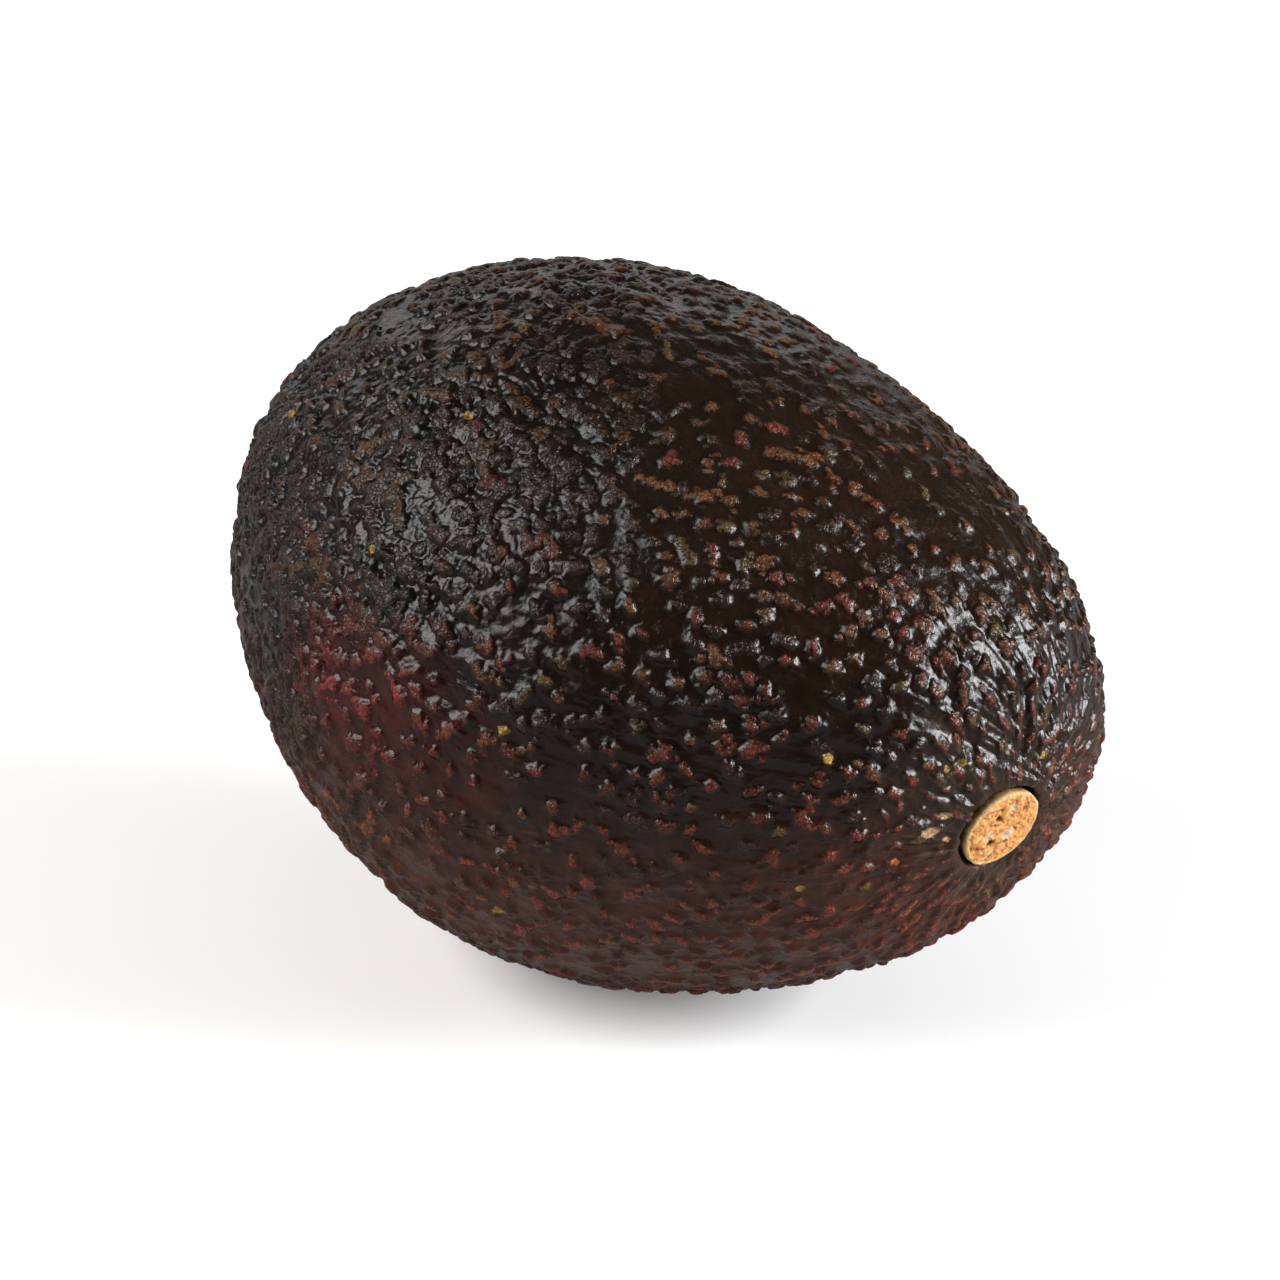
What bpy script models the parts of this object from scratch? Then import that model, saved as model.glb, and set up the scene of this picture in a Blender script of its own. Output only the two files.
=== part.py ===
"""Avocado with pebbled dark skin, lying on its side, with its corky stem button.

Run with  blender --background --python part.py  or from Blender's text editor.
Metres, +Z up. The fruit lies along X with its stem end at +X, and the origin is
the middle of the small flat spot that it rests on.

Two pieces: the fruit, whose skin, flesh and stone grew as one, and the stem
button, the stub of stalk that sits in a shallow socket in the skin and flicks
out when the fruit is ripe.
"""

import math

import bmesh
import bpy
from mathutils import Matrix, Vector

# ---------------------------------------------------------------- dimensions
RADIUS = 0.0350          # half of the greatest diameter
HALF_LENGTH = 0.04903    # middle of the fruit to either end, along its own axis
END_BLUNT = 0.118        # over 0 makes the ends blunter than an ellipsoid's
GIRTH = (-0.051, -0.024, 0.064, 0.040)   # fuller or slimmer by powers of s
BEND_SIDE = (0.00307, -0.00013)   # the ends lie this far to +Y, by s^2 and s^3
BEND_UP = (0.00184, 0.00071)      # and this far up
DROOP = math.radians(7.35)   # the stem end points this far below level

STEM_ANGLE = math.radians(10.42)    # the stem is this far off the fruit's end
STEM_TURN = math.radians(-153.72)   # round the axis from +Y, towards -Y and down
STEM_AXIS = Vector((0.9234, -0.2314, -0.3060)).normalized()  # the way the stalk grew
DRAW_DEPTH = 0.0011      # the skin draws in this much round the stem
DRAW_RADIUS = 0.0080     # as far out as this
DRAW_FADE = 0.0180       # and not at all from here
SEAT_DEPTH = 0.0007      # close to the stem it is cut level this much lower
SEAT_RADIUS = 0.0050     # it is level across the stalk this far out
SEAT_FADE = 0.0095       # and has its own shape again from here

BUTTON_RADIUS = 0.00440
BUTTON_RISE = 0.0005     # its top stands this far out of the skin
BUTTON_DEPTH = 0.0021    # and its foot is this deep
BUTTON_FOOT_RADIUS = 0.0028
GAP = 0.0003             # between the button and its socket

FLAT_DEPTH = 0.0007      # the flat spot is the skin this far up from its lowest point
BODY_CENTRE = Vector((0.0, 0.0, 0.03489 - FLAT_DEPTH))   # shape's middle over the spot
SEGMENTS, RINGS = 72, 56


# ------------------------------------------------------------------- helpers
def clear_scene():
    for old in list(bpy.data.objects):
        bpy.data.objects.remove(old, do_unlink=True)


def new_collection(name):
    made = bpy.data.collections.new(name)
    bpy.context.scene.collection.children.link(made)
    return made


def material(name, colour, roughness, coat=0.0):
    made = bpy.data.materials.new(name)
    made.use_nodes = True
    shader = made.node_tree.nodes["Principled BSDF"]
    shader.inputs["Base Color"].default_value = (*colour, 1.0)
    shader.inputs["Roughness"].default_value = roughness
    shader.inputs["Metallic"].default_value = 0.0
    shader.inputs["Coat Weight"].default_value = coat
    made.diffuse_color = (*colour, 1.0)
    return made


def body_frame():
    """The fruit's own axes: X out of the stem end, Y level, Z up."""
    along = Vector((math.cos(DROOP), 0.0, -math.sin(DROOP)))
    side = Vector((0.0, 1.0, 0.0))
    return Matrix((along, side, along.cross(side))).transposed()


def bare_point(s, ring):
    """A point of the smooth fruit in its own axes. s runs from 1 at the stem end
    to -1 at the blossom end; ring is a unit direction round the axis (Y, Z)."""
    spread = math.sqrt(max(0.0, 1.0 - s * s))
    girth = 1.0 + sum(k * s ** (i + 1) for i, k in enumerate(GIRTH))
    return Vector((
        HALF_LENGTH * (s + END_BLUNT * (s ** 3 - s)),
        RADIUS * spread * girth * ring[0] + BEND_SIDE[0] * s ** 2 + BEND_SIDE[1] * s ** 3,
        RADIUS * spread * girth * ring[1] + BEND_UP[0] * s ** 2 + BEND_UP[1] * s ** 3,
    ))


def stem_place():
    """Where the stalk leaves the bare shape, in the fruit's own axes."""
    ring = (math.cos(STEM_TURN), math.sin(STEM_TURN))
    return bare_point(math.cos(STEM_ANGLE), ring)


def eased(edge, full, x):
    """0 from edge outward, 1 from full inward, and smooth between."""
    t = min(1.0, max(0.0, (edge - x) / (edge - full)))
    return t * t * (3.0 - 2.0 * t)


def skin_point(s, ring):
    """bare_point, drawn in round the stem and level close to it."""
    point = bare_point(s, ring)
    if s < 0.2:
        return point
    axis = body_frame().transposed() @ STEM_AXIS
    rel = point - stem_place()
    height = rel.dot(axis)
    out = (rel - axis * height).length
    drawn = DRAW_DEPTH * eased(DRAW_FADE, DRAW_RADIUS, out)
    over = max(0.0, height - drawn + DRAW_DEPTH + SEAT_DEPTH)
    return point - axis * (drawn + over * eased(SEAT_FADE, SEAT_RADIUS, out))


def link(name, mesh, collection, looks=None):
    made = bpy.data.objects.new(name, mesh)
    collection.objects.link(made)
    if looks:
        mesh.materials.append(looks)
    return made


def turned(name, profile, steps, collection, looks=None):
    """A profile of (radius, height) points, top to bottom, turned about Z."""
    mesh = bpy.data.meshes.new(name)
    mesh.from_pydata(
        [(r, 0.0, z) for r, z in profile],
        [(i, i + 1) for i in range(len(profile) - 1)],
        [],
    )
    made = link(name, mesh, collection, looks)
    screw = made.modifiers.new("Turn", "SCREW")
    screw.axis = "Z"
    screw.angle = math.tau
    screw.steps = screw.render_steps = steps
    screw.use_merge_vertices = True
    screw.merge_threshold = 0.00001
    screw.use_smooth_shade = True
    return made


def cut(target, cutter):
    cutter.hide_render = True
    cutter.display_type = "WIRE"
    boolean = target.modifiers.new("Cut " + cutter.name, "BOOLEAN")
    boolean.operation = "DIFFERENCE"
    boolean.solver = "EXACT"
    boolean.object = cutter


# --------------------------------------------------------------------- build
def make_fruit(collection, looks):
    """A UV sphere, its poles turned to the fruit's ends, drawn out to its shape."""
    bm = bmesh.new()
    bmesh.ops.create_uvsphere(bm, u_segments=SEGMENTS, v_segments=RINGS, radius=1.0)
    for v in bm.verts:
        s = max(-1.0, min(1.0, v.co.z))
        wide = math.hypot(v.co.x, v.co.y)
        ring = (v.co.x / wide, v.co.y / wide) if wide > 1e-6 else (1.0, 0.0)
        v.co = skin_point(s, ring)
    bmesh.ops.recalc_face_normals(bm, faces=bm.faces)
    mesh = bpy.data.meshes.new("fruit")
    bm.to_mesh(mesh)
    bm.free()
    mesh.shade_smooth()
    fruit = link("fruit", mesh, collection, looks)
    fruit.matrix_world = Matrix.Translation(BODY_CENTRE) @ body_frame().to_4x4()
    return fruit


def stem_matrix():
    """Z out along the stalk, origin on the skin at its middle."""
    seat = BODY_CENTRE + body_frame() @ stem_place()
    seat = seat - STEM_AXIS * (DRAW_DEPTH + SEAT_DEPTH)
    turn = STEM_AXIS.to_track_quat("Z", "Y")
    return Matrix.Translation(seat) @ turn.to_matrix().to_4x4()


def make_button(collection, looks):
    """A low corky dome with a tapered foot."""
    rim = 0.00015
    profile = [
        (0.0, BUTTON_RISE),
        (0.35 * BUTTON_RADIUS, BUTTON_RISE * 0.97),
        (0.65 * BUTTON_RADIUS, BUTTON_RISE * 0.88),
        (0.86 * BUTTON_RADIUS, BUTTON_RISE * 0.66),
        (0.96 * BUTTON_RADIUS, BUTTON_RISE * 0.32),
        (BUTTON_RADIUS, -rim),
        (BUTTON_RADIUS * 0.985, -0.0007),
        (BUTTON_FOOT_RADIUS + 0.0006, -BUTTON_DEPTH + 0.0004),
        (BUTTON_FOOT_RADIUS, -BUTTON_DEPTH),
        (0.0, -BUTTON_DEPTH),
    ]
    button = turned("stem_button", profile, 32, collection, looks)
    button.matrix_world = stem_matrix()
    return button


def make_socket_cutter(collection):
    profile = [
        (0.0, 0.004),
        (BUTTON_RADIUS + GAP, 0.004),
        (BUTTON_RADIUS + GAP, -0.0007),
        (BUTTON_FOOT_RADIUS + 0.0006 + GAP, -BUTTON_DEPTH + 0.0002),
        (BUTTON_FOOT_RADIUS + GAP, -BUTTON_DEPTH - GAP),
        (0.0, -BUTTON_DEPTH - GAP),
    ]
    cutter = turned("socket_cutter", profile, 32, collection)
    cutter.matrix_world = stem_matrix()
    return cutter


def make_floor_cutter(collection):
    """Everything under Z = 0, which leaves the small flat spot."""
    bm = bmesh.new()
    bmesh.ops.create_cube(bm, size=1.0)
    bmesh.ops.scale(bm, vec=(0.08, 0.08, 0.02), verts=bm.verts)
    bmesh.ops.translate(bm, vec=(0.0, 0.0, -0.01), verts=bm.verts)
    mesh = bpy.data.meshes.new("floor_cutter")
    bm.to_mesh(mesh)
    bm.free()
    return link("floor_cutter", mesh, collection)


def main():
    clear_scene()
    parts = new_collection("avocado")
    cutters = new_collection("cutters")
    skin = material("skin", (0.030, 0.017, 0.014), 0.36, coat=0.15)
    cork = material("cork", (0.42, 0.21, 0.072), 0.85)
    fruit = make_fruit(parts, skin)
    make_button(parts, cork)
    cut(fruit, make_socket_cutter(cutters))
    cut(fruit, make_floor_cutter(cutters))
    bpy.context.view_layer.update()


main()
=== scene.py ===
"""Looks for the avocado: pebbled waxy skin and a corky stem button, on a pale floor."""

import math

import bpy
import numpy as np
from mathutils import Matrix, Vector, kdtree


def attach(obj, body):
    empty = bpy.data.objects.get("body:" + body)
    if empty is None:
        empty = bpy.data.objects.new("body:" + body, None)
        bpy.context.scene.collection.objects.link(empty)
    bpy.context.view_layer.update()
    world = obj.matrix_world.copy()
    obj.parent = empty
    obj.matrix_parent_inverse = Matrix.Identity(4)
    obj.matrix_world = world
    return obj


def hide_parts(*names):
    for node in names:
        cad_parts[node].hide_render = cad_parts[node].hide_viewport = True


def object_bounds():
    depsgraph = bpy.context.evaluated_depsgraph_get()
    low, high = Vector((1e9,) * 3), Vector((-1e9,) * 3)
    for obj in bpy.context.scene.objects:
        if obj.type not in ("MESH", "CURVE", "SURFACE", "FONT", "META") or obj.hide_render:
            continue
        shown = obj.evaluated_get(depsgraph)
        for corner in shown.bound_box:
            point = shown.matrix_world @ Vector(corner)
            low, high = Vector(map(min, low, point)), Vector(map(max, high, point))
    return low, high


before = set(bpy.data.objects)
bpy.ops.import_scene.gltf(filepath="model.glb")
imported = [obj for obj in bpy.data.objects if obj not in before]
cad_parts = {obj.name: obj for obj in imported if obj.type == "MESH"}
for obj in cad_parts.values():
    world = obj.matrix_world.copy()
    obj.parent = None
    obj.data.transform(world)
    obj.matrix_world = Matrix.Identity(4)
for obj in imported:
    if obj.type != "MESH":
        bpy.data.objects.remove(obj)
cad_lo, cad_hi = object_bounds()
scene = bpy.context.scene

# ------------------------------------------------------------ shape constants
# The same smooth fruit as the CAD solid, in metres.
RADIUS = 0.0350
HALF_LENGTH = 0.04903
END_BLUNT = 0.118
GIRTH = (-0.051, -0.024, 0.064, 0.040)
BEND_SIDE = (0.00307, -0.00013)
BEND_UP = (0.00184, 0.00071)
DROOP = math.radians(7.35)
STEM_ANGLE = math.radians(10.42)
STEM_TURN = math.radians(-153.72)
STEM_AXIS = np.array((0.9234, -0.2314, -0.3060))
STEM_AXIS /= np.linalg.norm(STEM_AXIS)
DRAW_DEPTH = 0.0011
DRAW_RADIUS = 0.0080
DRAW_FADE = 0.0180
SEAT_DEPTH = 0.0007
SEAT_RADIUS = 0.0050
SEAT_FADE = 0.0095
BUTTON_RADIUS = 0.00440
BUTTON_LONG = np.array((0.3763, 0.7020, 0.6046))    # the long way of its face as seen
BODY_CENTRE = np.array((0.0, 0.0, 0.03419))
MM = 0.001

ALONG = np.array((math.cos(DROOP), 0.0, -math.sin(DROOP)))
SIDE = np.array((0.0, 1.0, 0.0))
UPWARD = np.cross(ALONG, SIDE)


# -------------------------------------------------------------------- camera
def make_camera():
    data = bpy.data.cameras.new("camera")
    data.sensor_width = 36.0
    data.lens = 150.0
    data.clip_start = 0.01
    data.clip_end = 50.0
    cam = bpy.data.objects.new("camera", data)
    scene.collection.objects.link(cam)
    right = Vector((0.81772, 0.57562, 0.0))
    up = Vector((-0.24327, 0.34558, 0.90631))
    back = Vector((0.52169, -0.74110, 0.42262))
    turned = Matrix((right, up, back)).transposed().to_quaternion()
    place = Vector((0.311154, -0.352980, 0.235823)) + Vector(BODY_CENTRE)
    aim = (cad_lo + cad_hi) / 2 + Vector((0.0, 0.0, -0.0015))
    swing = (-back).rotation_difference((aim - place).normalized())
    cam.rotation_mode = "QUATERNION"
    cam.rotation_quaternion = swing @ turned
    cam.location = place
    scene.camera = cam


make_camera()


# --------------------------------------------------------------------- noise
class Noise:
    """Gradient noise on rows of points, about -1 to 1."""

    def __init__(self, seed):
        rng = np.random.RandomState(seed)
        self.perm = np.concatenate([rng.permutation(256)] * 3)
        grad = rng.normal(size=(256, 3))
        self.grad = grad / np.linalg.norm(grad, axis=1, keepdims=True)

    def __call__(self, p):
        cell = np.floor(p).astype(np.int64)
        f = p - cell
        cell &= 255
        u = f * f * f * (f * (f * 6 - 15) + 10)
        out = np.zeros(len(p))
        for dx in (0, 1):
            wx = u[:, 0] if dx else 1 - u[:, 0]
            for dy in (0, 1):
                wy = u[:, 1] if dy else 1 - u[:, 1]
                for dz in (0, 1):
                    wz = u[:, 2] if dz else 1 - u[:, 2]
                    h = self.perm[
                        self.perm[self.perm[cell[:, 0] + dx] + cell[:, 1] + dy]
                        + cell[:, 2]
                        + dz
                    ]
                    g = self.grad[h]
                    d = (
                        g[:, 0] * (f[:, 0] - dx)
                        + g[:, 1] * (f[:, 1] - dy)
                        + g[:, 2] * (f[:, 2] - dz)
                    )
                    out += wx * wy * wz * d
        return out * 1.6

    def layers(self, p, count, gain=0.5):
        total, size = np.zeros(len(p)), 1.0
        for k in range(count):
            total += size * self(p * 2.0**k + 17.3 * k)
            size *= gain
        return total


def smooth(lo, hi, x):
    t = np.clip((x - lo) / (hi - lo), 0.0, 1.0)
    return t * t * (3 - 2 * t)


def unit(v):
    return v / np.maximum(np.linalg.norm(v, axis=-1, keepdims=True), 1e-12)


# ---------------------------------------------------------------- smooth body
def to_world(local):
    return (
        BODY_CENTRE
        + local[..., 0:1] * ALONG
        + local[..., 1:2] * SIDE
        + local[..., 2:3] * UPWARD
    )


def bare_local(s, ring_y, ring_z):
    spread = np.sqrt(np.maximum(0.0, 1.0 - s * s))
    girth = 1.0 + sum(k * s ** (i + 1) for i, k in enumerate(GIRTH))
    return np.stack(
        [
            HALF_LENGTH * (s + END_BLUNT * (s**3 - s)),
            RADIUS * spread * girth * ring_y + BEND_SIDE[0] * s**2 + BEND_SIDE[1] * s**3,
            RADIUS * spread * girth * ring_z + BEND_UP[0] * s**2 + BEND_UP[1] * s**3,
        ],
        -1,
    )


STEM_LOCAL = bare_local(
    np.array([math.cos(STEM_ANGLE)]),
    np.array([math.cos(STEM_TURN)]),
    np.array([math.sin(STEM_TURN)]),
)[0]
STEM_SKIN = to_world(STEM_LOCAL)
STEM_SEAT = STEM_SKIN - STEM_AXIS * (DRAW_DEPTH + SEAT_DEPTH)
BLOSSOM_END = to_world(bare_local(np.array([-1.0]), np.array([1.0]), np.array([0.0])))[0]


def place_on_skin(theta, phi):
    """World place of a spot given by its angle from the stem end and round the axis, in degrees."""
    t, f = math.radians(theta), math.radians(phi)
    one = np.array([1.0])
    return to_world(bare_local(math.cos(t) * one, math.cos(f) * one, math.sin(f) * one))[0]


def cube_sphere(n):
    """Directions and quads of a cube blown up to a sphere, with a flat map of its six sides."""
    steps = np.tan(np.linspace(-1, 1, n + 1) * math.pi / 4)
    a, b = np.meshgrid(steps, steps, indexing="ij")
    one = np.ones_like(a)
    sides = [
        (one, a, b),
        (-one, b, a),
        (b, one, a),
        (a, -one, b),
        (a, b, one),
        (b, a, -one),
    ]
    points = np.stack([np.stack(s, -1).reshape(-1, 3) for s in sides])
    flat = unit(points.reshape(-1, 3))
    i, j = np.meshgrid(np.arange(n), np.arange(n), indexing="ij")
    corner = (i * (n + 1) + j).reshape(-1)
    quad = np.stack([corner, corner + n + 1, corner + n + 2, corner + 1], 1)
    quads = np.concatenate([quad + k * (n + 1) ** 2 for k in range(6)])
    # one map square for each side, three across and two up, with a margin
    grid = np.linspace(0.0, 1.0, n + 1)
    gu, gv = np.meshgrid(grid, grid, indexing="ij")
    maps = []
    for k in range(6):
        col, row = k % 3, k // 3
        maps.append(
            np.stack(
                [
                    (col + 0.01 + 0.98 * gu.reshape(-1)) / 3,
                    (row + 0.01 + 0.98 * gv.reshape(-1)) / 2,
                ],
                1,
            )
        )
    maps = np.concatenate(maps)
    corner_map = maps[quads]
    key = np.round(flat * 1e6).astype(np.int64)
    _, first, where = np.unique(key, axis=0, return_index=True, return_inverse=True)
    where = where.reshape(-1)
    dirs = flat[first]
    quads = where[quads]
    # turn every face outward
    p = dirs[quads]
    out = np.einsum("ij,ij->i", np.cross(p[:, 1] - p[:, 0], p[:, 2] - p[:, 0]), p.mean(1))
    flip = out < 0
    quads[flip] = quads[flip][:, ::-1]
    corner_map[flip] = corner_map[flip][:, ::-1]
    return dirs, quads, corner_map


def vertex_normals(points, quads):
    a, b, c, d = (points[quads[:, k]] for k in range(4))
    n = np.cross(c - a, d - b)
    out = np.zeros_like(points)
    for k in range(4):
        for axis in range(3):
            out[:, axis] += np.bincount(quads[:, k], n[:, axis], len(points))
    return unit(out)


SIDE_STEPS = 340
dirs, quads, corner_map = cube_sphere(SIDE_STEPS)
s = dirs[:, 0]
wide = np.hypot(dirs[:, 1], dirs[:, 2])
ring_y = np.where(wide > 1e-9, dirs[:, 1] / np.maximum(wide, 1e-9), 1.0)
ring_z = np.where(wide > 1e-9, dirs[:, 2] / np.maximum(wide, 1e-9), 0.0)
local = bare_local(s, ring_y, ring_z)
base = to_world(local)
rel = base - STEM_SKIN
rise = rel @ STEM_AXIS
out = np.linalg.norm(rel - rise[:, None] * STEM_AXIS, axis=1)
drawn = DRAW_DEPTH * smooth(DRAW_FADE, DRAW_RADIUS, out)
over = np.maximum(0.0, rise - drawn + DRAW_DEPTH + SEAT_DEPTH)
cut_in = (drawn + over * smooth(SEAT_FADE, SEAT_RADIUS, out)) * (s > 0.2)
base -= STEM_AXIS * cut_in[:, None]
normal = vertex_normals(base, quads)
to_stem = STEM_SEAT - base
from_stem = np.linalg.norm(to_stem, axis=1)
tangent = unit(to_stem - normal * (to_stem * normal).sum(1, keepdims=True))
to_end = base - BLOSSOM_END
tangent_b = unit(to_end - normal * (to_end * normal).sum(1, keepdims=True))
mix = smooth(-0.6, 0.2, s)[:, None]
tangent = unit(tangent * mix + tangent_b * (1 - mix))
across = np.cross(normal, tangent)
mmp = base / MM        # places in millimetres, for noise

# ------------------------------------------------------------- pebble centres
rng = np.random.RandomState(4127)
n_a, n_b, n_c, n_d = Noise(11), Noise(23), Noise(37), Noise(51)

patchy = n_a(mmp / 13.0)
stem_mm = from_stem / MM
# the blossom half is where they run together into crackled plates
plates = smooth(0.15, -0.35, s) * smooth(-0.45, 0.35, n_c(mmp / 9.0 + 60))
for theta, phi, radius_mm in ((102, 138, 15), (90, 118, 11), (112, 160, 10)):
    d = np.linalg.norm(mmp - place_on_skin(theta, phi) / MM, axis=1)
    plates = np.maximum(plates, 0.9 * smooth(1.25 * radius_mm, 0.6 * radius_mm, d))
# the upper part of the stem half is duller, its pebbles lower
dull = smooth(0.45, 0.80, normal[:, 2]) * smooth(-0.35, 0.25, s)
# spacing of the pebbles, in millimetres
spacing = 2.20 + 0.45 * patchy - 0.25 * plates - 0.15 * smooth(0.2, 0.8, s)
spacing *= 0.58 + 0.42 * smooth(5.0, 20.0, stem_mm)
spacing = np.clip(spacing, 0.95, 2.9)


def scatter(points, gap):
    order = rng.permutation(len(points))[:150000]
    cell = gap.max()
    kept, grid = [], {}
    for i in order:
        x, y, z = points[i]
        cx, cy, cz = int(x // cell), int(y // cell), int(z // cell)
        r = gap[i]
        clash = False
        for ax in (cx - 1, cx, cx + 1):
            for ay in (cy - 1, cy, cy + 1):
                for az in (cz - 1, cz, cz + 1):
                    for qx, qy, qz, qr in grid.get((ax, ay, az), ()):
                        lim = 0.5 * (r + qr)
                        if (x - qx) ** 2 + (y - qy) ** 2 + (z - qz) ** 2 < lim * lim:
                            clash = True
                            break
                    if clash:
                        break
                if clash:
                    break
            if clash:
                break
        if not clash:
            kept.append(i)
            grid.setdefault((cx, cy, cz), []).append((x, y, z, r))
    return np.array(kept)


seeds = scatter(mmp, spacing)
seeds = seeds[stem_mm[seeds] > 6.2]
seeds = seeds[rng.rand(len(seeds)) > 0.07]       # a few bare places
print("pebbles", len(seeds))

tree = kdtree.KDTree(len(base))
for i, p in enumerate(mmp):
    tree.insert(p, i)
tree.balance()

warp1, warp2 = n_b(mmp / 0.8), n_c(mmp / 0.8 + 40)
warp3, warp4 = n_a(mmp / 1.7 + 20), n_d(mmp / 1.7 + 90)
edge_noise = n_d(mmp / 0.45)

sum4 = np.zeros(len(base))
moat_and_foot_shade = np.zeros(len(base))
mask = np.zeros(len(base))
owner = np.full(len(base), -1)


def stamp(centre, axis_long, half_long, half_wide, height, who, flat):
    """One pebble: a low hill with a worn top, steeper sided where flat is 1."""
    reach = max(half_long, half_wide) * (2.5 - 0.6 * flat)
    found = tree.find_range(centre, reach)
    if not found:
        return
    idx = np.fromiter((f[1] for f in found), int, len(found))
    d = mmp[idx] - centre
    nrm = normal[idx[0]]
    side = np.cross(nrm, axis_long)
    x = d @ axis_long + half_wide * (0.60 * warp1[idx] + 0.35 * warp3[idx])
    y = d @ side + half_wide * (0.60 * warp2[idx] + 0.35 * warp4[idx])
    r = np.sqrt((x / half_long) ** 2 + (y / half_wide) ** 2) + 0.15 * edge_noise[idx]
    core = smooth(1.35, 0.55 - 0.25 * (1 - flat), r)
    foot = smooth(2.4, 0.4, r)
    lift = height * ((0.52 + 0.28 * flat) * core + (0.48 - 0.28 * flat) * foot)
    sum4[idx] += lift**4
    # a ring round the foot: it dips the skin a little, and its colour is darkened there as painted shade
    moat_and_foot_shade[idx] = np.maximum(moat_and_foot_shade[idx], (0.45 + 0.55 * flat) * smooth(2.1, 1.25, r) * (1 - core))
    better = core > mask[idx]
    mask[idx[better]] = core[better]
    owner[idx[better]] = who


count = len(seeds)
lean = rng.normal(0, 1, count)
size_pick = rng.rand(count)
long_pick = rng.rand(count)
tall_pick = rng.rand(count)
centre_tree = kdtree.KDTree(count)
for k, i in enumerate(seeds):
    centre_tree.insert(mmp[i], k)
centre_tree.balance()

for k, i in enumerate(seeds):
    near_stem = 1 - smooth(7.0, 22.0, stem_mm[i])
    stem_half = smooth(-0.2, 0.7, s[i])
    spread = 0.65 - 0.45 * near_stem
    turn = lean[k] * spread
    t = tangent[i] * math.cos(turn) + across[i] * math.sin(turn)
    flat = plates[i] * (0.4 + 0.6 * tall_pick[k])
    size = (0.58 + 0.34 * size_pick[k] ** 1.8) * (1.0 + 0.45 * flat * size_pick[k])
    size *= 1.0 - 0.12 * stem_half
    size *= 0.62 + 0.38 * smooth(7.0, 20.0, stem_mm[i])
    stretch = 1.0 + 0.75 * long_pick[k] ** 2 + 0.75 * near_stem + 0.5 * flat
    height = (0.38 + 0.28 * tall_pick[k]) * (1 - 0.40 * near_stem) * (1 - 0.20 * flat)
    height *= 1.0 - 0.42 * dull[i]
    stamp(mmp[i], t, size * stretch, size * (1.0 - 0.12 * near_stem), height, k, flat)
    # smaller ones grown against it
    beside = np.cross(normal[i], t)
    for _ in range(rng.randint(0, 3) + (rng.rand() < plates[i]) - (rng.rand() < near_stem)):
        a = rng.rand() * 2 * math.pi
        away = size * (0.9 + 0.8 * rng.rand())
        spot_at = mmp[i] + away * (math.cos(a) * stretch * t + math.sin(a) * beside)
        small = size * (0.35 + 0.40 * rng.rand())
        foot_at = mmp[tree.find(spot_at)[1]]
        stamp(foot_at, t, small * (1 + 0.5 * rng.rand()), small, height * (0.45 + 0.45 * rng.rand()), k, flat)

# some run together into short worm-like ridges
joined = np.flatnonzero(rng.rand(count) < 0.07 + 0.38 * plates[seeds])
for k in joined:
    i = seeds[k]
    near = centre_tree.find_n(mmp[i], 5)[1:]
    pick = near[rng.randint(len(near))]
    j = seeds[pick[1]]
    gap = mmp[j] - mmp[i]
    if pick[2] > 2.9:
        continue
    mid = (mmp[i] + mmp[j]) / 2
    foot_at = mmp[tree.find(mid)[1]]
    run = gap / np.linalg.norm(gap)
    stamp(foot_at, run, pick[2] * 0.50, 0.36 + 0.14 * rng.rand(), 0.24 + 0.10 * rng.rand(), k, plates[i])

pebble_lift = sum4**0.25

# ------------------------------------------------------------ ridges by the stem
stem_rel = base - STEM_SEAT
stem_up = stem_rel @ STEM_AXIS
flat_rel = stem_rel - stem_up[:, None] * STEM_AXIS
stem_rho = np.linalg.norm(flat_rel, axis=1) / MM
e1 = unit(BUTTON_LONG - STEM_AXIS * (BUTTON_LONG @ STEM_AXIS))
e2 = np.cross(STEM_AXIS, e1)
stem_dir = unit(flat_rel)
stem_cos, stem_sin = stem_dir @ e1, stem_dir @ e2
radial = np.stack([stem_cos * 5.5, stem_sin * 5.5, stem_rho / 9.0], 1)
fine_radial = np.stack([stem_cos * 13.0, stem_sin * 13.0, stem_rho / 6.0], 1)
hair_radial = np.stack([stem_cos * 26.0, stem_sin * 26.0, stem_rho / 5.0], 1)
near_side = s > 0.3
ridge_zone = smooth(4.6, 6.0, stem_rho) * (1 - smooth(9.0, 22.0, stem_rho)) * near_side
hairs = n_c(hair_radial)
ridges = (0.20 * n_a(radial) + 0.13 * n_b(fine_radial) + 0.06 * hairs) * ridge_zone

# low swells, drawn out lengthwise, and fine creases all over
swell = 0.22 * n_b(mmp / 9.0) + 0.24 * n_c(mmp / 4.2)
lengthwise = np.stack([s * 6.0, ring_y * 12.0, ring_z * 12.0], 1)
swell += 0.17 * n_d(lengthwise) + 0.09 * n_a(lengthwise * np.array((2.1, 2.0, 2.0)) + 9)
creases = np.stack([s * 10.0, ring_y * 36.0, ring_z * 36.0], 1)
crease = 0.045 * n_d(creases) + 0.022 * n_a(creases * 1.9 + 5)
rough_zone = 0.34 + 0.66 * plates
lumpy = 0.22 * n_a(mmp / 1.6 + 70) + 0.13 * n_b(mmp / 0.8 + 80)
cracked = np.minimum(np.abs(n_b(mmp / 1.6 + 12)), 0.8 * np.abs(n_c(mmp / 0.9 + 5)))
cracks = smooth(0.12, 0.0, cracked)
grain = 0.020 * n_c(mmp / 0.45 + 31) - 0.10 * rough_zone * cracks
height_mm = -0.40 + pebble_lift + swell + crease + grain + lumpy * rough_zone + ridges - 0.08 * moat_and_foot_shade
# the tops are worn nearly level
height_mm = np.where(height_mm > 0.05, 0.05 + (height_mm - 0.05) * 0.6, height_mm)

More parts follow.
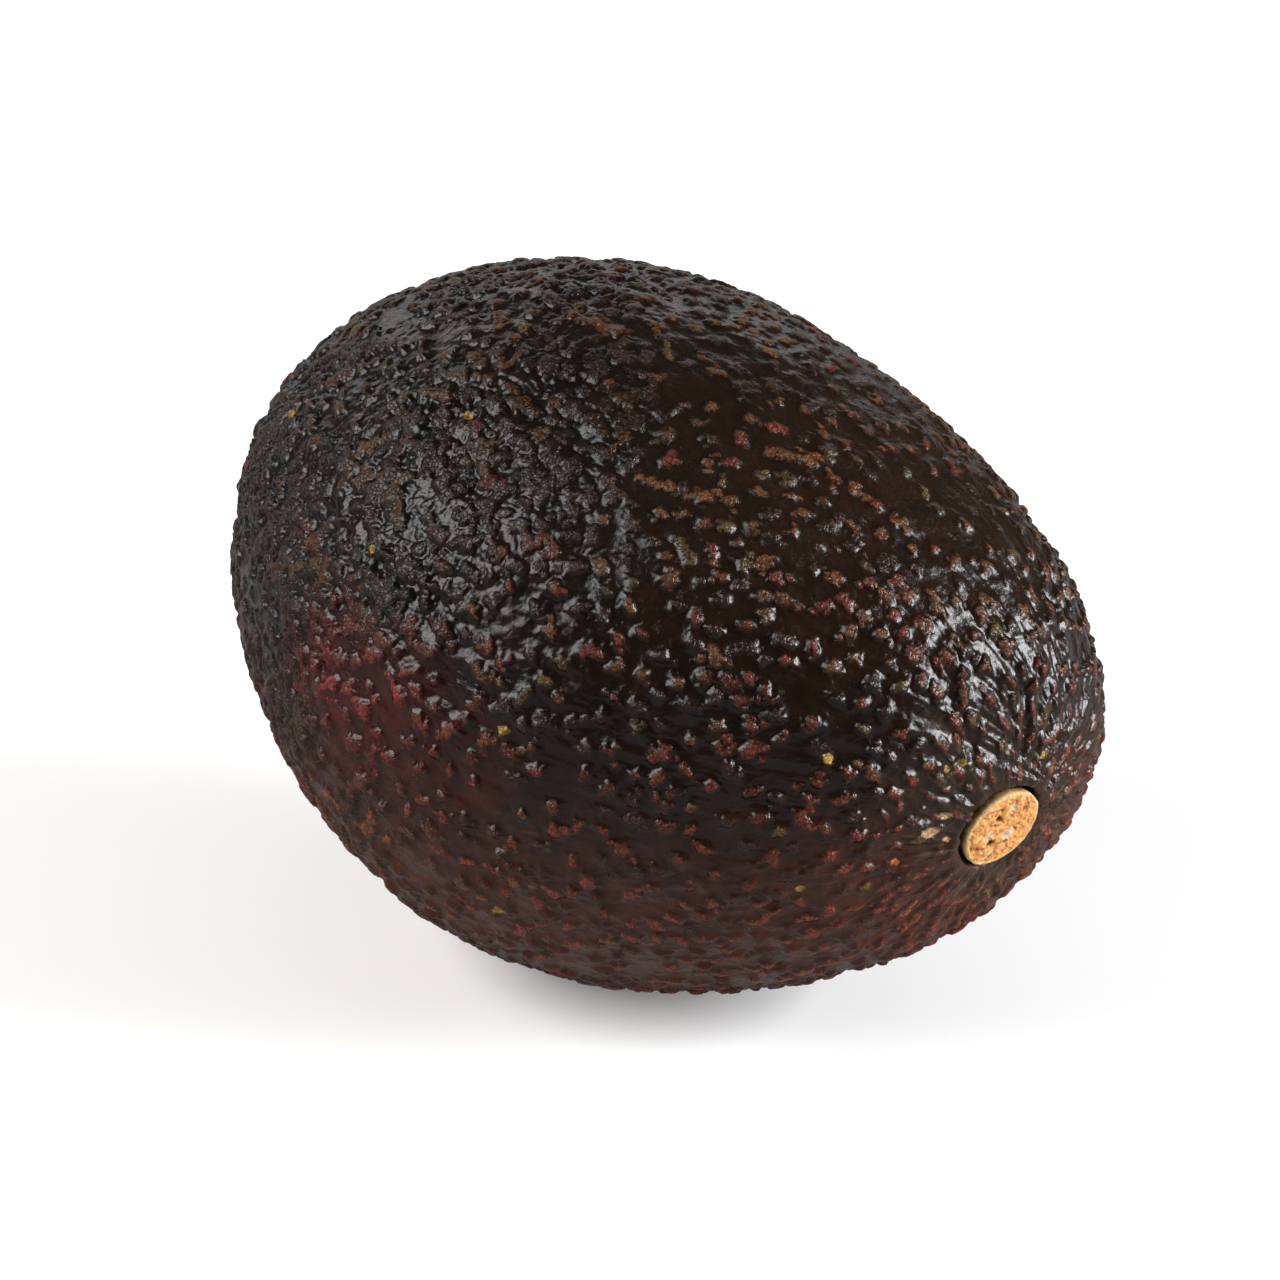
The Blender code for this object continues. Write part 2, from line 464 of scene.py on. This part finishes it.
# the socket that the button sits in, its mouth a little uneven
angle_noise = 0.10 * n_c(np.stack([stem_cos * 2.2, stem_sin * 2.2, 0 * stem_cos + 5], 1))
mouth = 4.62 + angle_noise
lip = 0.22 * np.exp(-(((stem_rho - mouth - 0.7) / 0.7) ** 2)) * near_side
height_mm = height_mm + lip
inside = (1 - smooth(mouth - 0.25, mouth + 0.18, stem_rho)) * near_side

place = base + normal * (height_mm * MM)[:, None]
place -= STEM_AXIS * (inside * 1.7 * MM)[:, None]
place[:, 2] = np.maximum(place[:, 2], 0.0)

# --------------------------------------------------------------- skin colours
def srgb(r, g, b):
    c = np.array((r, g, b), float) / 255.0
    return np.where(c <= 0.04045, c / 12.92, ((c + 0.055) / 1.055) ** 2.4)


def blob(theta, phi, radius_mm, soft=0.5):
    d = np.linalg.norm(base - place_on_skin(theta, phi), axis=1) / MM
    return 1 - smooth(radius_mm * (1 - soft), radius_mm * (1 + soft), d)


tone = n_a.layers(mmp / 11.0 + 3.1, 3)
tone2 = n_b.layers(mmp / 6.5 + 8.7, 3)
tone3 = n_c.layers(mmp / 2.6 + 1.7, 3)


def over(colour, share, other):
    share = np.clip(share, 0, 1)[:, None]
    return colour * (1 - share) + other * share


upper = smooth(-0.1, 0.9, normal[:, 2])
stem_half = smooth(-0.1, 0.6, s)
blush = np.maximum.reduce([
    blob(99, 173, 7.5, 0.7),
    blob(104, 171, 6, 0.8),
    blob(92, 171, 6, 0.8),
    0.7 * blob(83, 173, 5, 0.8),
]) * (0.65 + 0.35 * np.clip(n_c(mmp / 5.0) * 1.5 + 0.5, 0, 1))
skin = over(np.tile(srgb(32, 20, 13), (len(base), 1)), smooth(-0.6, 0.6, tone), srgb(22, 17, 11))
skin = over(skin, smooth(0.0, 0.9, tone2) * 0.6, srgb(16, 11, 7))
skin = over(skin, 0.60 * stem_half * upper, srgb(46, 29, 18))
skin = over(skin, 0.40 * upper * (1 - stem_half), srgb(34, 28, 23))
# the underside is painted lighter and redder: painted light, as if bounced up from the floor
skin = over(skin, 0.75 * smooth(0.35, -0.6, normal[:, 2]), srgb(72, 37, 25))
skin = over(skin, blush * (0.55 + 0.4 * smooth(-0.2, 0.7, n_b(mmp / 4.0 + 33))), srgb(88, 23, 20))
skin = over(skin, 0.55 * (1 - smooth(6.0, 13.0, stem_rho)) * near_side, srgb(46, 42, 36))
# the tone varies at random, and the ring round each pebble's foot is darkened as painted shade
skin = skin * ((0.92 + 0.30 * tone3) * (1 - 0.40 * moat_and_foot_shade))[:, None]
# the upper side is painted darker than the underside: painted floor light below
underside_painted_light = smooth(0.25, -0.5, normal[:, 2])
skin = skin * (0.58 + 0.56 * underside_painted_light)[:, None] * np.array((1.10, 0.95, 0.85))
streak = smooth(0.22, 0.62, hairs + 0.5 * n_b(fine_radial)) * (1 - smooth(7.0, 17.0, stem_rho)) * near_side
skin = over(skin, streak * 0.45, srgb(96, 78, 58))

rust = srgb(98, 38, 22)
orange = srgb(96, 54, 22)
olive = srgb(80, 60, 26)
tan = srgb(67, 45, 34)
crimson = srgb(126, 37, 29)
dark = srgb(46, 26, 16)
pick = rng.rand(count)
tone_k = tone[seeds]
upper_k = upper[seeds]
stem_k = stem_half[seeds]
blush_k = blush[seeds]
plates_k = plates[seeds]
palette = np.zeros((count, 3))
for k in range(count):
    weights = np.array([
        0.16 + 0.95 * stem_k[k] * (1.15 - upper_k[k]),
        0.08 + 0.95 * upper_k[k] * (0.35 + 0.65 * stem_k[k]),
        0.04 + 0.40 * upper_k[k] * (0.5 + 0.5 * max(0.0, tone_k[k])),
        0.70 * (1 - stem_k[k]),
        0.60 + 0.9 * plates_k[k],
    ])
    c = (rust, orange, olive, tan, dark)[int(np.searchsorted(np.cumsum(weights) / weights.sum(), pick[k]))]
    palette[k] = c * (0.65 + 0.60 * rng.rand())
# pebble tops on the underside are painted lighter too: painted floor light
palette *= (0.95 + 0.75 * underside_painted_light[seeds])[:, None]
reds = (0.5 + 0.6 * rng.rand(count))[:, None] * crimson
palette = palette * (1 - blush_k[:, None]) + reds * blush_k[:, None]
# the tops are only a little brighter than the skin round them, and not all of one strength
faint = (0.12 + 0.32 * plates_k + 0.22 * rng.rand(count)) * (1 - 0.7 * blush_k)
palette = palette * (1 - faint)[:, None] + 1.15 * skin[seeds] * faint[:, None]
grey = palette.mean(1, keepdims=True)
palette = 0.91 * palette + 0.09 * grey
top = np.where(owner[:, None] >= 0, palette[np.maximum(owner, 0)], skin)
peb = mask * (owner >= 0) * (1 - 0.6 * cracks * rough_zone)

# pale corky spots: angle from the stem end, turn, half length and half width in mm, colour
corky = srgb(176, 140, 98)
yellow = srgb(150, 118, 48)
rusty = srgb(150, 84, 34)
spots = (
    (22.0, -177.75, 1.00, 0.55, corky), (19.75, 175.25, 0.62, 0.36, corky),
    (19.5, -170.25, 0.42, 0.30, corky), (20.0, 147.75, 0.50, 0.34, yellow),
    (22.0, 152.25, 0.42, 0.30, yellow), (38.25, 156.25, 0.55, 0.45, yellow),
    (39.25, -165.25, 0.50, 0.42, yellow), (78.0, -155.25, 0.80, 0.50, yellow),
    (135.75, 135.75, 0.60, 0.50, yellow), (100.25, 123.25, 0.55, 0.42, yellow),
    (103.0, 149.25, 0.50, 0.40, yellow), (7.25, 107.25, 0.45, 0.35, yellow),
    (26.75, -167.25, 0.45, 0.35, rusty), (76.5, 166.75, 0.60, 0.45, yellow),
    (60.0, 20.0, 0.70, 0.45, corky), (85.0, -40.0, 0.60, 0.45, yellow), (120.0, 60.0, 0.60, 0.42, yellow),
    (50.0, -20.0, 0.50, 0.40, yellow), (110.0, -90.0, 0.60, 0.45, corky), (95.0, 5.0, 0.50, 0.40, yellow),
)
spot = np.zeros(len(base))
spot_tone = np.zeros((len(base), 3))
for theta, phi, half_long, half_wide, colour in spots:
    centre = place_on_skin(theta, phi) / MM
    i = tree.find(centre)[1]
    idx = np.fromiter((f[1] for f in tree.find_range(mmp[i], half_long * 2.2)), int)
    d = mmp[idx] - mmp[i]
    x = d @ tangent[i] + 0.2 * half_wide * warp1[idx]
    y = d @ across[i] + 0.2 * half_wide * warp2[idx]
    r = np.sqrt((x / half_long) ** 2 + (y / half_wide) ** 2)
    f = smooth(1.25, 0.75, r)
    better = f > spot[idx]
    spot[idx[better]] = f[better]
    spot_tone[idx[better]] = colour
top = over(top, smooth(0.1, 0.5, spot), spot_tone)
peb = np.maximum(peb, spot)


def make_mesh(name, points, faces, corner_uv):
    mesh = bpy.data.meshes.new(name)
    n, m = len(points), len(faces)
    mesh.vertices.add(n)
    mesh.vertices.foreach_set("co", points.astype(np.float32).reshape(-1))
    mesh.loops.add(m * 4)
    mesh.loops.foreach_set("vertex_index", faces.astype(np.int32).reshape(-1))
    mesh.polygons.add(m)
    mesh.polygons.foreach_set("loop_start", (np.arange(m) * 4).astype(np.int32))
    mesh.update(calc_edges=True)
    mesh.validate()
    mesh.shade_smooth()
    layer = mesh.uv_layers.new(name="OFBake")
    layer.data.foreach_set("uv", corner_uv.astype(np.float32).reshape(-1))
    return mesh


def give(mesh, name, values):
    if values.ndim == 1:
        made = mesh.attributes.new(name, "FLOAT", "POINT")
        made.data.foreach_set("value", values.astype(np.float32))
    else:
        made = mesh.attributes.new(name, "FLOAT_COLOR", "POINT")
        four = np.concatenate([values, np.ones((len(values), 1))], 1)
        made.data.foreach_set("color", four.astype(np.float32).reshape(-1))


skin_mesh = make_mesh("avocado_skin", place, quads, corner_map)
give(skin_mesh, "skin_tone", np.clip(skin, 0, 1))
give(skin_mesh, "top_tone", np.clip(top, 0, 1))
give(skin_mesh, "pebble", peb)
give(skin_mesh, "socket", inside)
give(skin_mesh, "dull", dull)


# ------------------------------------------------------------------ materials
class Graph:
    def __init__(self, name):
        self.material = bpy.data.materials.new(name)
        self.material.use_nodes = True
        self.tree = self.material.node_tree
        self.shader = self.tree.nodes["Principled BSDF"]

    def node(self, kind, **settings):
        made = self.tree.nodes.new(kind)
        for key, value in settings.items():
            setattr(made, key, value)
        return made

    def join(self, a, b):
        self.tree.links.new(a, b)

    def attribute(self, name, colour=False):
        made = self.node("ShaderNodeAttribute", attribute_name=name)
        return made.outputs["Color" if colour else "Fac"]

    def places(self, scale):
        """Object places times scale."""
        here = self.node("ShaderNodeTexCoord")
        sized = self.node("ShaderNodeMapping")
        sized.inputs["Scale"].default_value = (scale, scale, scale)
        self.join(here.outputs["Object"], sized.inputs["Vector"])
        return sized.outputs["Vector"]

    def noise(self, where, scale, detail=3.0, rough=0.55, distort=0.0):
        made = self.node("ShaderNodeTexNoise")
        made.inputs["Scale"].default_value = scale
        made.inputs["Detail"].default_value = detail
        made.inputs["Roughness"].default_value = rough
        made.inputs["Distortion"].default_value = distort
        self.join(where, made.inputs["Vector"])
        return made.outputs["Fac"]

    def voronoi(self, where, scale, feature="F1", out="Distance"):
        made = self.node("ShaderNodeTexVoronoi", feature=feature)
        made.inputs["Scale"].default_value = scale
        self.join(where, made.inputs["Vector"])
        return made.outputs[out]

    def span(self, value, a, b, c, d, how="LINEAR"):
        made = self.node("ShaderNodeMapRange", interpolation_type=how)
        made.inputs["From Min"].default_value = a
        made.inputs["From Max"].default_value = b
        made.inputs["To Min"].default_value = c
        made.inputs["To Max"].default_value = d
        self.join(value, made.inputs["Value"])
        return made.outputs["Result"]

    def maths(self, what, a, b=None, clamp=False):
        made = self.node("ShaderNodeMath", operation=what, use_clamp=clamp)
        for slot, value in ((0, a), (1, b)):
            if value is None:
                continue
            if isinstance(value, (int, float)):
                made.inputs[slot].default_value = value
            else:
                self.join(value, made.inputs[slot])
        return made.outputs[0]

    def blend(self, share, a, b, how="MIX"):
        made = self.node("ShaderNodeMix", data_type="RGBA", blend_type=how)
        for name, value in (("Factor", share), ("A", a), ("B", b)):
            slot = next(
                i for i in made.inputs
                if i.name == name and i.type == ("VALUE" if name == "Factor" else "RGBA")
            )
            if isinstance(value, (int, float)):
                slot.default_value = value
            elif isinstance(value, tuple):
                slot.default_value = (*value, 1.0)
            else:
                self.join(value, slot)
        return next(o for o in made.outputs if o.type == "RGBA")

    def bump(self, height, strength, distance, after=None):
        made = self.node("ShaderNodeBump")
        made.inputs["Strength"].default_value = strength
        made.inputs["Distance"].default_value = distance
        self.join(height, made.inputs["Height"])
        if after is not None:
            self.join(after, made.inputs["Normal"])
        return made.outputs["Normal"]


def skin_material():
    g = Graph("avocado_skin")
    mm = g.places(1000.0)
    fine = g.noise(mm, 3.2, 4.0, 0.62)
    coarse = g.noise(mm, 0.9, 3.0)
    cells = g.voronoi(mm, 2.3, "DISTANCE_TO_EDGE")
    pebble = g.attribute("pebble")
    ragged = g.maths("ADD", pebble, g.span(fine, 0.3, 0.7, -0.34, 0.24))
    tops = g.span(ragged, 0.12, 1.05, 0.0, 1.0, "SMOOTHSTEP")
    valley = g.blend(
        g.span(coarse, 0.35, 0.7, 0.0, 0.45), g.attribute("skin_tone", True), srgb_tuple(17, 14, 11)
    )
    grain = g.span(fine, 0.32, 0.70, 0.55, 1.45)
    top = g.blend(1.0, g.attribute("top_tone", True), g.tinted(grain), "MULTIPLY")
    crack = g.span(cells, 0.02, 0.14, 0.50, 1.0)
    top = g.blend(1.0, top, g.tinted(crack), "MULTIPLY")
    colour = g.blend(tops, valley, top)
    # the socket round the button is painted dark brown: painted shade in the gap between button and skin
    colour = g.blend(g.span(g.attribute("socket"), 0.2, 0.8, 0.0, 1.0), colour, srgb_tuple(30, 20, 14))
    g.join(colour, g.shader.inputs["Base Color"])
    rough = g.maths("ADD", g.span(fine, 0.3, 0.7, 0.13, 0.27), g.span(tops, 0.0, 1.0, 0.0, 0.14))
    rough = g.maths("ADD", rough, g.maths("MULTIPLY", g.attribute("dull"), 0.06))
    g.join(rough, g.shader.inputs["Roughness"])
    g.shader.inputs["IOR"].default_value = 1.46
    g.shader.inputs["Specular IOR Level"].default_value = 0.29
    lines = g.maths("MULTIPLY", g.span(cells, 0.0, 0.16, -1.0, 0.0), tops)
    relief = g.maths("ADD", g.maths("MULTIPLY", fine, 0.8), lines)
    g.join(g.bump(relief, 0.55, 0.00010), g.shader.inputs["Normal"])
    return g.material


def srgb_tuple(r, g, b):
    return tuple(float(x) for x in srgb(r, g, b))


def tinted(self, value):
    """A grey colour from a number."""
    made = self.node("ShaderNodeCombineColor")
    for k in range(3):
        self.join(value, made.inputs[k])
    return made.outputs[0]


Graph.tinted = tinted

skin_piece = bpy.data.objects.new("avocado_skin", skin_mesh)
scene.collection.objects.link(skin_piece)
skin_mesh.materials.append(skin_material())
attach(skin_piece, "root")
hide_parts("fruit")


# --------------------------------------------------------------- stem button
def make_button():
    rings, spokes = 70, 220
    n_e, n_f, n_g = Noise(71), Noise(72), Noise(73)
    # rows from the middle of the top, out over the rim, down the side, and in under the foot
    outline = []
    top_rows = 46
    for k in range(1, top_rows + 1):
        outline.append((k / top_rows, None))
    side = [(1.0, -0.15), (0.99, -0.45), (0.975, -0.8), (0.90, -1.2), (0.80, -1.6), (0.70, -1.9),
            (0.62, -2.1), (0.35, -2.1)]
    angle = np.linspace(0, 2 * math.pi, spokes, endpoint=False)
    ca, sa = np.cos(angle), np.sin(angle)
    edge = 4.32 + 0.13 * n_e(np.stack([ca * 1.6, sa * 1.6, 0 * ca], 1)) + 0.08 * n_f(
        np.stack([ca * 5, sa * 5, 0 * ca], 1))
    # pits: place along the face, size, depth
    pits_at = ((0.43, 1.78, 0.34, 0.55), (-1.74, -0.23, 0.38, 0.60), (2.88, -0.17, 0.40, 0.30),
               (1.30, -1.10, 0.30, 0.25), (-3.10, 0.60, 0.30, 0.30), (1.10, 2.60, 0.25, 0.25))
    rows, shades = [], []
    for share, _ in outline:
        r = share * edge
        x, y = r * ca, r * sa
        p = np.stack([x, y, 0 * x], 1)
        dome = 0.26 * (1 - share**4.0) + 0.02
        lumps = 0.15 * n_e(p / 1.05) + 0.09 * n_f(p / 0.5) + 0.04 * n_g(p / 0.22)
        pits = -0.30 * smooth(0.40, 0.75, n_g(p / 0.62 + 31)) - 0.14 * smooth(0.35, 0.7, n_f(p / 0.33 + 7))
        hole = np.zeros(spokes)
        for px, py, wide_mm, deep in pits_at:
            wob = wide_mm * (1 + 0.35 * n_f(p / 0.35 + px))
            one = np.exp(-((((x - px) / wob) ** 2 + ((y - py) / (0.8 * wob)) ** 2) ** 1.5))
            hole = np.maximum(hole, one * deep)
        z = dome + (lumps + pits) * smooth(1.02, 0.86, np.full(spokes, share)) - hole
        rim = 0.12 * np.exp(-(((share - 0.95) / 0.035) ** 2)) * (0.7 + 0.5 * n_e(p / 1.3 + 4))
        rows.append(np.stack([x, y, z + rim + 0.10], 1))
        shades.append(np.clip(hole * 1.9 - pits * 0.9, 0, 1))
    for share, z in side:
        r = share * edge
        wob = 0.05 * n_f(np.stack([ca * 6, sa * 6, 0 * ca + z], 1))
        rows.append(np.stack([(r + wob) * ca, (r + wob) * sa, 0 * ca + z], 1))
        shades.append(np.full(spokes, 0.25 + 0.5 * min(1.0, -z)))
    shade = np.concatenate([[0.0]] + shades + [[1.0]])
    points = [np.array([[0.0, 0.0, rows[0][:, 2].mean()]])] + rows + [np.array([[0.0, 0.0, side[-1][1]]])]
    pts = np.concatenate(points)
    faces = []
    total = len(rows)
    for j in range(spokes):
        faces.append((0, 1 + j, 1 + (j + 1) % spokes))
    for k in range(total - 1):
        a, b = 1 + k * spokes, 1 + (k + 1) * spokes
        for j in range(spokes):
            j2 = (j + 1) % spokes
            faces.append((a + j, b + j, b + j2, a + j2))
    last = 1 + (total - 1) * spokes
    for j in range(spokes):
        faces.append((last + j, len(pts) - 1, last + (j + 1) % spokes))
    mesh = bpy.data.meshes.new("stem_button")
    turn = Matrix((Vector(e1), Vector(e2), Vector(STEM_AXIS))).transposed()
    world = STEM_SEAT + (pts * MM) @ np.array(turn).T
    mesh.from_pydata([tuple(p) for p in world], [], faces)
    mesh.validate()
    mesh.shade_smooth()
    local = mesh.attributes.new("disc", "FLOAT_VECTOR", "POINT")
    local.data.foreach_set("vector", pts.astype(np.float32).reshape(-1))
    pale = np.zeros(len(pts))
    for px, py, wide_mm in ((-1.42, 0.96, 0.75), (0.11, -1.0, 0.80), (-2.3, -1.3, 0.5), (2.2, 1.4, 0.5)):
        d = np.hypot(pts[:, 0] - px, pts[:, 1] - py) + 0.35 * n_e(pts / 0.6)
        pale = np.maximum(pale, smooth(wide_mm, 0.35 * wide_mm, d))
    rho = np.hypot(pts[:, 0], pts[:, 1])
    give(mesh, "pale", pale * (pts[:, 2] > -0.2))
    give(mesh, "rim", smooth(3.75, 4.15, rho + 0.2 * n_f(pts / 0.7)) * (pts[:, 2] > -0.3))
    give(mesh, "shade", shade)
    piece = bpy.data.objects.new("button_cork", mesh)
    scene.collection.objects.link(piece)
    return piece


def cork_material():
    g = Graph("cork")
    where = g.node("ShaderNodeAttribute", attribute_name="disc").outputs["Vector"]
    broad = g.noise(where, 0.75, 3.0, 0.6)
    mid = g.noise(where, 1.9, 4.0, 0.6)
    fine = g.noise(where, 6.0, 3.0, 0.6)
    base = g.blend(g.span(mid, 0.36, 0.64, 0.0, 1.0), srgb_tuple(158, 98, 46), srgb_tuple(206, 152, 88))
    base = g.blend(g.span(broad, 0.50, 0.64, 0.0, 0.6), base, srgb_tuple(176, 118, 62))
    base = g.blend(g.maths("MULTIPLY", g.attribute("rim"), 0.7), base, srgb_tuple(186, 160, 112))
    base = g.blend(g.maths("MULTIPLY", g.attribute("pale"), 0.8), base, srgb_tuple(190, 170, 152))
    speck = g.span(g.noise(where, 3.0, 2.0, 0.7), 0.62, 0.72, 0.0, 0.5)
    base = g.blend(speck, base, srgb_tuple(88, 50, 22))
    base = g.blend(g.span(g.attribute("shade"), 0.1, 0.75, 0.0, 0.92), base, srgb_tuple(48, 27, 14))
    dusty = g.span(fine, 0.3, 0.7, 0.66, 1.2)
    base = g.blend(1.0, base, g.tinted(dusty), "MULTIPLY")
    g.join(base, g.shader.inputs["Base Color"])
    g.join(g.span(fine, 0.3, 0.7, 0.75, 0.95), g.shader.inputs["Roughness"])
    g.shader.inputs["IOR"].default_value = 1.4
    g.join(g.bump(g.maths("ADD", mid, g.maths("MULTIPLY", fine, 0.5)), 0.7, 0.0002), g.shader.inputs["Normal"])
    return g.material


button = make_button()
button.data.materials.append(cork_material())
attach(button, "root")
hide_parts("stem_button")


# --------------------------------------------------------------------- stage
def make_floor():
    mesh = bpy.data.meshes.new("floor")
    size = 4.0
    mesh.from_pydata(
        [(-size, -size, 0), (size, -size, 0), (size, size, 0), (-size, size, 0)], [], [(0, 1, 2, 3)]
    )
    floor = bpy.data.objects.new("floor", mesh)
    scene.collection.objects.link(floor)
    g = Graph("floor")
    here = g.node("ShaderNodeTexCoord").outputs["Object"]
    soft = g.noise(here, 3.0, 2.0)
    seen = g.blend(g.span(soft, 0.3, 0.7, 0.0, 1.0), (0.84, 0.84, 0.84), (0.86, 0.86, 0.86))
    ray = g.node("ShaderNodeLightPath")
    colour = g.blend(ray.outputs["Is Glossy Ray"], (0.62, 0.62, 0.62), (0.31, 0.31, 0.31))
    colour = g.blend(ray.outputs["Is Camera Ray"], colour, seen)
    g.join(colour, g.shader.inputs["Base Color"])
    g.shader.inputs["Emission Color"].default_value = (1.0, 0.97, 0.93, 1.0)
    away = g.node("ShaderNodeVectorMath", operation="LENGTH")
    g.join(here, away.inputs[0])
    # the lamps are close, so the far floor glows more, as if evenly lit to the back
    glow = g.span(away.outputs["Value"], 0.40, 1.70, 0.12, 0.66, "SMOOTHSTEP")
    g.join(g.maths("MULTIPLY", ray.outputs["Is Camera Ray"], glow), g.shader.inputs["Emission Strength"])
    g.shader.inputs["Roughness"].default_value = 0.9
    g.shader.inputs["Specular IOR Level"].default_value = 0.0
    mesh.materials.append(g.material)


def lamp(name, azimuth, elevation, distance, size, watts, colour=(1, 1, 1), size_y=None):
    data = bpy.data.lights.new(name, "AREA")
    data.shape = "RECTANGLE" if size_y else "SQUARE"
    data.size = size
    if size_y:
        data.size_y = size_y
    data.energy = watts
    data.color = colour
    made = bpy.data.objects.new(name, data)
    a, e = math.radians(azimuth), math.radians(elevation)
    way = Vector((math.cos(a) * math.cos(e), math.sin(a) * math.cos(e), math.sin(e)))
    made.location = Vector((0, 0, 0.035)) + way * distance
    made.rotation_mode = "QUATERNION"
    made.rotation_quaternion = way.to_track_quat("Z", "Y")
    made.visible_camera = False
    scene.collection.objects.link(made)
    return made


def sun():
    data = bpy.data.lights.new("ceiling", "SUN")
    data.energy = 0.25
    data.angle = math.radians(70)
    made = bpy.data.objects.new("ceiling", data)
    made.rotation_mode = "QUATERNION"
    made.rotation_quaternion = Vector((0.15, 0.35, 0.92)).to_track_quat("Z", "Y")
    made.visible_glossy = False
    scene.collection.objects.link(made)


def make_world():
    world = bpy.data.worlds.new("studio")
    scene.world = world
    world.use_nodes = True
    tree = world.node_tree
    back = tree.nodes["Background"]
    back.inputs["Color"].default_value = (1.0, 0.97, 0.94, 1.0)
    back.inputs["Strength"].default_value = 0.07
    pale = tree.nodes.new("ShaderNodeBackground")
    pale.inputs["Color"].default_value = (0.93, 0.93, 0.93, 1.0)
    seen = tree.nodes.new("ShaderNodeLightPath")
    both = tree.nodes.new("ShaderNodeMixShader")
    tree.links.new(seen.outputs["Is Camera Ray"], both.inputs[0])
    tree.links.new(back.outputs[0], both.inputs[1])
    tree.links.new(pale.outputs[0], both.inputs[2])
    tree.links.new(both.outputs[0], tree.nodes["World Output"].inputs[0])


make_floor()
make_world()
lamp("left_softbox", -127, 37, 0.9, 0.62, 11.0, (1.0, 0.98, 0.96), 0.58)
lamp("right_softbox", 27, 18, 0.9, 0.36, 19.5, (0.97, 0.98, 1.0), 0.46)
lamp("backdrop", 138, 16, 1.3, 1.5, 2.9, (1.0, 0.98, 0.95), 0.5)
sun()

scene.view_settings.view_transform = "Standard"
scene.view_settings.look = "None"
scene.view_settings.exposure = 0.0
scene.view_settings.gamma = 1.0
